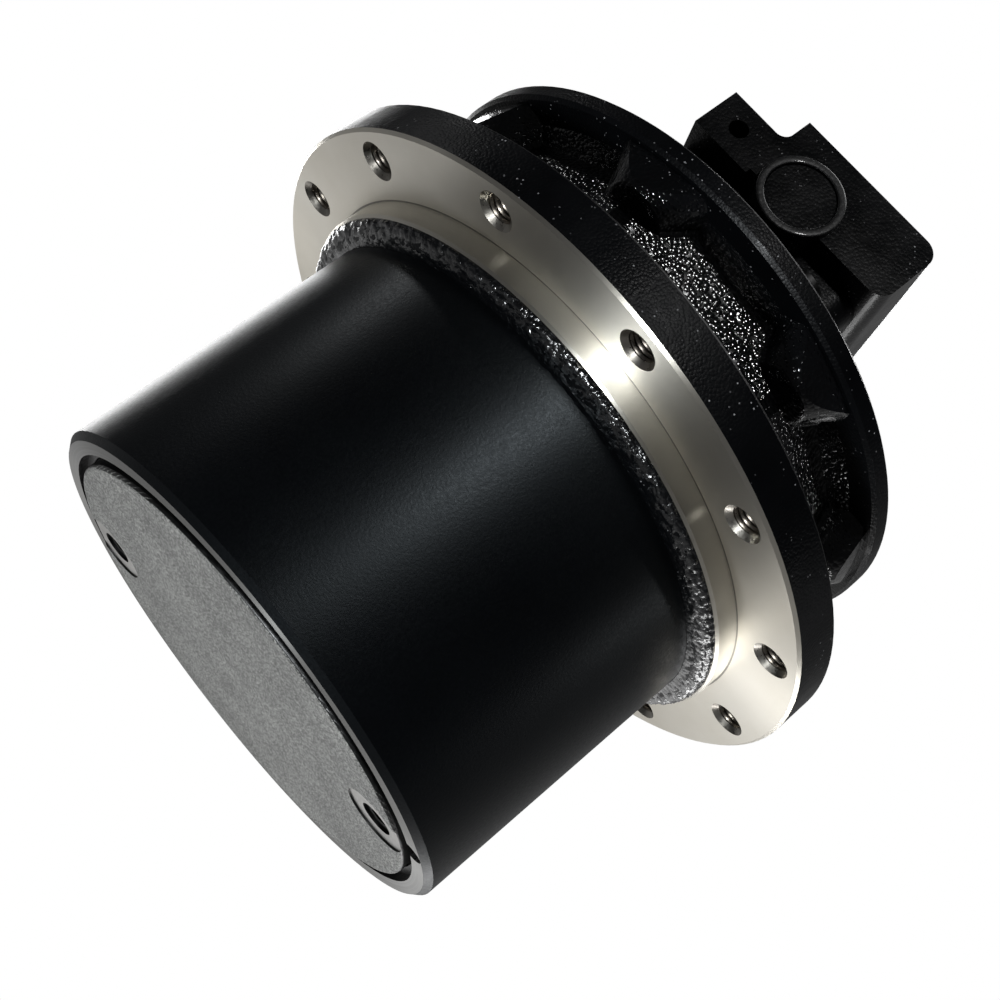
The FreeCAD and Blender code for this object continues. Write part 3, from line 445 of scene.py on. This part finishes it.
def housing_zone(centre, normal):
    # The first rule that a face meets names its material.
    radius = math.hypot(centre.x, centre.y)
    inward = normal.x * centre.x + normal.y * centre.y < -0.1 * radius
    in_flange = centre.z > -0.5
    countersink_radius = HOLE_RADIUS + COUNTERSINK_DEPTH
    if in_flange and near_bolt_hole(centre, HOLE_RADIUS + SLACK / 2):
        return THREAD_STEEL
    if in_flange and near_bolt_hole(centre, countersink_radius + SLACK) and abs(normal.z) < 0.95:
        return CUT_STEEL
    # The walls of the bore round the cover, near the end, are made dark.
    if centre.z < COVER_FLOOR_LEVEL - SLACK and radius < GROOVE_ZONE and normal.z > -0.9:
        return DARK_STEEL
    if radius < BORE_ZONE and inward:
        return GEAR_STEEL
    if centre.z < END_LEVEL + SLACK and normal.z < -0.95:
        return END_STEEL
    if radius > PILOT_RADIUS - 2.0 and SHOULDER_HIGH - SLACK < centre.z < FLANGE_CHAMFER:
        return TURNED
    if centre.z > SHOULDER_LOW + SLACK:
        return FINE_CAST if radius > BACK_ZONE else GEAR_STEEL
    return SATIN if radius > PAINT_ZONE else GEAR_STEEL


def casing_zone(centre, normal):
    # The rim of the casing is smoother than its flats and bosses.
    radius = math.hypot(centre.x, centre.y)
    face = abs(normal.z) > 0.98 and centre.z > RIM_FRONT - 0.2
    edge = radius > RIM_INNER and centre.z > RIM_FRONT - 1.5
    return FINE_CAST if face or edge else ROUGH_CAST


def cover_zone(centre, normal):
    # Only faces that look outwards are iron grey, and the spot faces round the plugs are bright; the
    # others, such as the wall round the boss down in the groove, are made dark.
    if normal.z > -0.7:
        return DARK_STEEL
    spot = abs(centre.z - SPOT_FACE_LEVEL) < 0.12 and normal.z < -0.9
    return SPOT_STEEL if spot else COVER_IRON


def plain(material, *names):
    # Gives each named node one material.
    for name in names:
        mesh = nodes[name].data
        mesh.materials.clear()
        mesh.materials.append(material)


housing_materials = [SATIN, FINE_CAST, TURNED, THREAD_STEEL, END_STEEL, GEAR_STEEL, DARK_STEEL, CUT_STEEL]
assign_by_zone("reduction_housing", housing_materials, housing_zone)
assign_by_zone("end_cover", [COVER_IRON, SPOT_STEEL, DARK_STEEL], cover_zone)
assign_by_zone("motor_casing", [ROUGH_CAST, FINE_CAST], casing_zone)
plain(BLOCK_PAINT, "rear_cover")

# The inner parts take their material by the slot that the record names for them.
slots = {n["node"]: n["material_slot"] for n in frame["record"]["subparts"]}
by_slot = {"dark_steel": DARK_STEEL, "machined_steel": GEAR_STEEL, "seal_rubber": RUBBER, "bronze": BRONZE}
for name, slot_name in slots.items():
    if slot_name in by_slot:
        plain(by_slot[slot_name], name)
for name in nodes:
    if name.startswith("spool_cap"):
        plain(BLOCK_PAINT, name)
plain(DARK_STEEL, "cover_retaining_ring")


# The seam of each turned surface lies at angle zero; its corner normals are laid in the axis plane.

def mend_seam(*names):
    seam_reach = 0.01 * MM
    most_lean = 0.06
    for name in names:
        mesh = nodes[name].data
        normals = [corner.vector.copy() for corner in mesh.corner_normals]
        for corner in mesh.loops:
            place = mesh.vertices[corner.vertex_index].co
            normal = normals[corner.index]
            if place.x > 0.0 and abs(place.y) < seam_reach and abs(normal.y) < most_lean:
                normals[corner.index] = Vector((normal.x, 0.0, normal.z)).normalized()
        mesh.normals_split_custom_set(normals)


mend_seam("reduction_housing", "end_cover", "motor_casing")


# Pieces

def mesh_piece(name, build, material, body):
    # Makes one smooth piece that moves with a body.
    shape = bmesh.new()
    build(shape)
    bmesh.ops.recalc_face_normals(shape, faces=shape.faces)
    mesh = bpy.data.meshes.new(name)
    shape.to_mesh(mesh)
    shape.free()
    for face in mesh.polygons:
        face.use_smooth = True
    mesh.materials.append(material)
    piece = bpy.data.objects.new(name, mesh)
    bpy.context.scene.collection.objects.link(piece)
    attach(piece, body)
    return piece


def swept_ring(shape, profile, steps):
    # profile(angle) gives the (radius, level) pairs of one section in mm.
    sections = []
    for i in range(steps):
        angle = 2 * math.pi * i / steps
        section = []
        for radius, level in profile(angle):
            place = Vector((radius * math.cos(angle), radius * math.sin(angle), level)) * MM
            section.append(shape.verts.new(place))
        sections.append(section)
    for i in range(steps):
        here, there = sections[i], sections[(i + 1) % steps]
        for j in range(len(here) - 1):
            shape.faces.new((here[j], there[j], there[j + 1], here[j + 1]))


def shoulder_profile(angle):
    # The cast edge where the barrel runs into the pilot, left rough and lumpy.
    points = []
    count = 16
    lift = 0.1
    lumps_round = 34.0
    lumps_across = 2.6
    lump_height = 0.55
    pit_depth = 0.30
    fade_in = 3.0
    fade_out = 2.0
    across = SHOULDER_RADIUS - BARREL_RADIUS
    along = SHOULDER_HIGH - SHOULDER_LOW
    for j in range(count + 1):
        turn = math.pi / 2 * j / count
        place = Vector((math.cos(angle) * lumps_round, math.sin(angle) * lumps_round, turn * lumps_across))
        lumps = noise.fractal(place, 0.7, 2.1, 4) * lump_height
        pits = noise.fractal(place * 3.0, 0.8, 2.0, 3) * pit_depth
        fade = min(1.0, j / fade_in, (count - j) / fade_out)
        push = (lumps + pits) * fade
        radius = BARREL_RADIUS + lift + across * math.sin(turn) + push * math.sin(turn)
        level = SHOULDER_HIGH - along * math.cos(turn) - push * math.cos(turn)
        points.append((radius, level))
    return points


def thread_helix(shape):
    # One ridge winds up each sprocket hole and runs out at both ends.
    turns = (FLANGE_THICKNESS - THREAD_START) / THREAD_PITCH
    per_turn = 28
    run_out = 10.0
    total = int(turns * per_turn)
    for hole in range(BOLT_COUNT):
        angle = math.radians(BOLT_FIRST_ANGLE + 360.0 * hole / BOLT_COUNT)
        x, y = BOLT_CIRCLE * math.cos(angle), BOLT_CIRCLE * math.sin(angle)
        previous = None
        for i in range(total + 1):
            turn = 2 * math.pi * i / per_turn
            level = THREAD_START + THREAD_PITCH * i / per_turn
            depth = THREAD_DEPTH * min(1.0, i / run_out, (total - i) / run_out)
            corners = (
                (-THREAD_SUNK, -THREAD_ROOT_HALF),
                (depth, -THREAD_CREST_HALF),
                (depth, THREAD_CREST_HALF),
                (-THREAD_SUNK, THREAD_ROOT_HALF),
            )
            section = []
            for inward, shift in corners:
                radius = HOLE_RADIUS - inward
                place = Vector((x + radius * math.cos(turn), y + radius * math.sin(turn), level + shift))
                section.append(shape.verts.new(place * MM))
            if previous:
                for j in range(3):
                    shape.faces.new((previous[j], section[j], section[j + 1], previous[j + 1]))
            previous = section


def strip(shape, rows):
    # Joins rows of points, each in millimetres, into one surface.
    made = [[shape.verts.new(Vector(point) * MM) for point in row] for row in rows]
    for here, there in zip(made, made[1:]):
        for j in range(len(here) - 1):
            shape.faces.new((here[j], there[j], there[j + 1], here[j + 1]))


def on_flat(index, across, out, level):
    # A point on one flat of the casing: along the flat, out from the axis, and its level.
    angle = math.radians(FLAT_FIRST_ANGLE + 360.0 * index / FLAT_COUNT)
    x = out * math.cos(angle) - across * math.sin(angle)
    y = out * math.sin(angle) + across * math.cos(angle)
    return (x, y, level)


def casing_root_fillets(shape):
    # Each flat runs into the rim in a hollow fillet, sunk a little into both.
    half_length = 24.0
    step = 2.0
    sunk = 0.15
    wave_height = 0.5
    for index in range(FLAT_COUNT):
        rows = []
        for i in range(int(2 * half_length / step) + 1):
            across = -half_length + step * i
            wave = wave_height * noise.noise(Vector((across * 0.11, index * 5.0, 0.0)))
            row = []
            for j in range(ARC_STEPS + 1):
                turn = math.pi / 2 * j / ARC_STEPS
                out = FLAT_RADIUS + ROOT_FILLET * (1.0 - math.cos(turn)) - sunk + wave
                level = RIM_FRONT - ROOT_FILLET * (1.0 - math.sin(turn)) + sunk
                row.append(on_flat(index, across, out, level))
            rows.append(row)
        strip(shape, rows)


def casing_boss_fillets(shape):
    # Each bolt boss widens towards the rim and meets the flats beside it in a hollow fillet.
    half = math.pi / FLAT_COUNT
    boss_across = BOSS_CIRCLE * math.sin(half)
    boss_out = BOSS_CIRCLE * math.cos(half)
    row_count = 18
    low = BOSS_FRONT + 1.5
    widening = (BOSS_ROOT_RADIUS - BOSS_RADIUS) / (RIM_FRONT - BOSS_FRONT)
    sunk = 0.1
    unevenness = 0.15
    for index in range(FLAT_COUNT):
        for side in (-1, 1):
            rows = []
            for i in range(row_count):
                level = low + i / (row_count - 1) * (RIM_FRONT - low)
                radius = BOSS_RADIUS + widening * (level - BOSS_FRONT)
                uneven = noise.noise(Vector((level * 0.2, index * 3.0, side * 7.0)))
                fillet = EDGE_FILLET * (1.0 + unevenness * uneven)
                centre_out = FLAT_RADIUS + fillet
                reach = math.sqrt((radius + fillet) ** 2 - (centre_out - boss_out) ** 2)
                centre_across = boss_across - reach
                start = math.pi
                end = math.atan2(boss_across - centre_across, boss_out - centre_out)
                row = []
                for j in range(ARC_STEPS + 1):
                    turn = start + (end - start) * j / ARC_STEPS
                    out = centre_out + (fillet + sunk) * math.cos(turn)
                    across = centre_across + (fillet + sunk) * math.sin(turn)
                    row.append(on_flat(index, side * across, out, level))
                rows.append(row)
            strip(shape, rows)


def cap_collars(shape):
    # The rounded collar round each of the two spool caps, its foot sunk into the block.
    steps = 96
    sunk = 0.05
    middle = (COLLAR_INNER + COLLAR_OUTER) / 2
    for side in (-1, 1):
        rows = []
        for i in range(steps + 1):
            angle = 2 * math.pi * i / steps
            row = []
            for j in range(ARC_STEPS + 1):
                turn = math.pi * j / ARC_STEPS
                radius = middle - (COLLAR_OUTER - COLLAR_INNER) / 2 * math.cos(turn)
                x = side * (CAP_FACE - sunk + COLLAR_HEIGHT * math.sin(turn))
                row.append((x, CAP_Y + radius * math.cos(angle), CAP_Z + radius * math.sin(angle)))
            rows.append(row)
        strip(shape, rows)


def shoulder_bead(shape):
    swept_ring(shape, shoulder_profile, 720)


mesh_piece("cast_shoulder_bead", shoulder_bead, BEAD_CAST, "housing")
mesh_piece("sprocket_hole_threads", thread_helix, THREAD_STEEL, "housing")
mesh_piece("casing_root_fillets", casing_root_fillets, ROUGH_CAST, "casing")
mesh_piece("casing_boss_fillets", casing_boss_fillets, ROUGH_CAST, "casing")
mesh_piece("spool_cap_collars", cap_collars, COLLAR_PAINT, "casing")


# The springs are the solid model's own.

def spring_piece(name, node_name, side):
    # A side of -1 or 1 keeps the half of the mesh on that side, and 0 keeps all of it.
    shape = bmesh.new()
    shape.from_mesh(nodes[node_name].data)
    away = [vertex for vertex in shape.verts if vertex.co.x * side < 0.0]
    bmesh.ops.delete(shape, geom=away, context="VERTS")
    mesh = bpy.data.meshes.new(name)
    shape.to_mesh(mesh)
    shape.free()
    for face in mesh.polygons:
        face.use_smooth = True
    mesh.materials.append(GEAR_STEEL)
    piece = bpy.data.objects.new(name, mesh)
    bpy.context.scene.collection.objects.link(piece)
    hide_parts(node_name)
    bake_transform(piece)


def springs():
    # The spool springs are split into a left and a right half, and the brake spring is kept whole.
    low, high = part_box("spool_springs")
    for name, side, outer in (("spool_spring_left", -1, low[0]), ("spool_spring_right", 1, high[0])):
        spring_piece(name, "spool_springs", side)
    low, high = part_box("brake_spring")
    spring_piece("brake_disc_spring", "brake_spring", 0)


springs()


# Scene

def floor():
    mesh = bpy.data.meshes.new("floor")
    shape = bmesh.new()
    bmesh.ops.create_grid(shape, x_segments=1, y_segments=1, size=FLOOR_HALF_SIZE)
    shape.to_mesh(mesh)
    shape.free()
    mesh.materials.append(floor_paint())
    piece = bpy.data.objects.new("floor", mesh)
    piece.location = (0.0, 0.0, lo0.z - FLOOR_GAP)
    piece.visible_shadow = False
    piece.visible_diffuse = False
    piece.visible_glossy = False
    bpy.context.scene.collection.objects.link(piece)


def softbox(name, direction, distance, size, watts, colour=(1.0, 1.0, 1.0)):
    # The direction is as seen from the photograph's camera: right, up and towards it.
    right, up, toward = direction
    width, height = size
    away = (RIGHT * right + UP * up - FORWARD * toward).normalized() * distance
    data = bpy.data.lights.new(name, "AREA")
    data.shape = "RECTANGLE"
    data.size = width
    data.size_y = height
    data.energy = watts
    data.color = colour
    light = bpy.data.objects.new(name, data)
    bpy.context.scene.collection.objects.link(light)
    light.location = CENTRE + away
    light.rotation_mode = "QUATERNION"
    light.rotation_quaternion = (-away).to_track_quat("-Z", "Y")
    light.visible_camera = False


def world():
    # The camera sees plain white, and the surfaces see a dark studio with one glow.
    made = bpy.data.worlds.new("studio")
    bpy.context.scene.world = made
    made.use_nodes = True
    tree = made.node_tree
    tree.nodes.clear()
    output = node(tree, "ShaderNodeOutputWorld")
    seen = node(tree, "ShaderNodeBackground")
    seen.inputs["Color"].default_value = (1.0, 1.0, 1.0, 1.0)
    lit = node(tree, "ShaderNodeBackground")
    direction = node(tree, "ShaderNodeTexCoord").outputs["Generated"]
    along = node(tree, "ShaderNodeVectorMath", operation="DOT_PRODUCT")
    tree.links.new(direction, along.inputs[0])
    along.inputs[1].default_value = GLOW_DIRECTION
    shade = ramp(tree, span(tree, along.outputs["Value"], -1.0, 1.0, 0.0, 1.0), [
        (0.0, (0.01, 0.01, 0.01)),
        (0.5, (0.035, 0.035, 0.037)),
        (0.80, (0.22, 0.22, 0.22)),
        (0.94, (0.36, 0.36, 0.36)),
        (0.985, (0.95, 0.95, 0.95)),
    ])
    tree.links.new(shade, lit.inputs["Color"])
    lit.inputs["Strength"].default_value = WORLD_STRENGTH
    mixer = node(tree, "ShaderNodeMixShader")
    camera_ray = node(tree, "ShaderNodeLightPath").outputs["Is Camera Ray"]
    tree.links.new(camera_ray, mixer.inputs[0])
    tree.links.new(lit.outputs[0], mixer.inputs[1])
    tree.links.new(seen.outputs[0], mixer.inputs[2])
    tree.links.new(mixer.outputs[0], output.inputs["Surface"])


def camera():
    data = bpy.data.cameras.new("camera")
    data.sensor_width = SENSOR_MM
    data.lens = FOCAL_PIXELS / IMAGE_PIXELS * SENSOR_MM
    data.clip_start = 0.01
    made = bpy.data.objects.new("camera", data)
    bpy.context.scene.collection.objects.link(made)
    axes = Matrix((RIGHT, UP, -FORWARD)).transposed()
    made.matrix_world = Matrix.Translation(Vector(CAMERA_PLACE) * MM) @ axes.to_4x4()
    bpy.context.scene.camera = made


floor()
world()
camera()
# Two small lamps in front of the object, the first for the glints on the casing's flats
softbox("facet_key", (0.478, 0.484, 0.738), 1.7, (0.15, 0.15), 6.5)
softbox("near_camera", (-0.405, -0.214, 0.888), 1.5, (0.14, 0.14), 14.0, (0.93, 0.97, 1.0))
# Two very small lamps, above it and to its right
softbox("top", (-0.32, 0.93, -0.17), 1.4, (0.05, 0.05), 0.8)
softbox("right_low", (0.85, -0.52, -0.08), 1.5, (0.04, 0.04), 0.4)
# Four wide lamps round its back
softbox("edge_left", (-0.354, 0.364, -0.847), 1.5, (0.40, 0.80), 5.6)
softbox("back", (0.31, 0.24, -0.92), 1.8, (0.6, 0.6), 10.0)
softbox("above", (0.739, 0.570, -0.359), 1.6, (0.8, 0.8), 8.0)
softbox("under_behind", (0.05, -0.87, -0.45), 1.5, (0.7, 0.35), 4.0)
bpy.context.scene.view_settings.view_transform = "Standard"
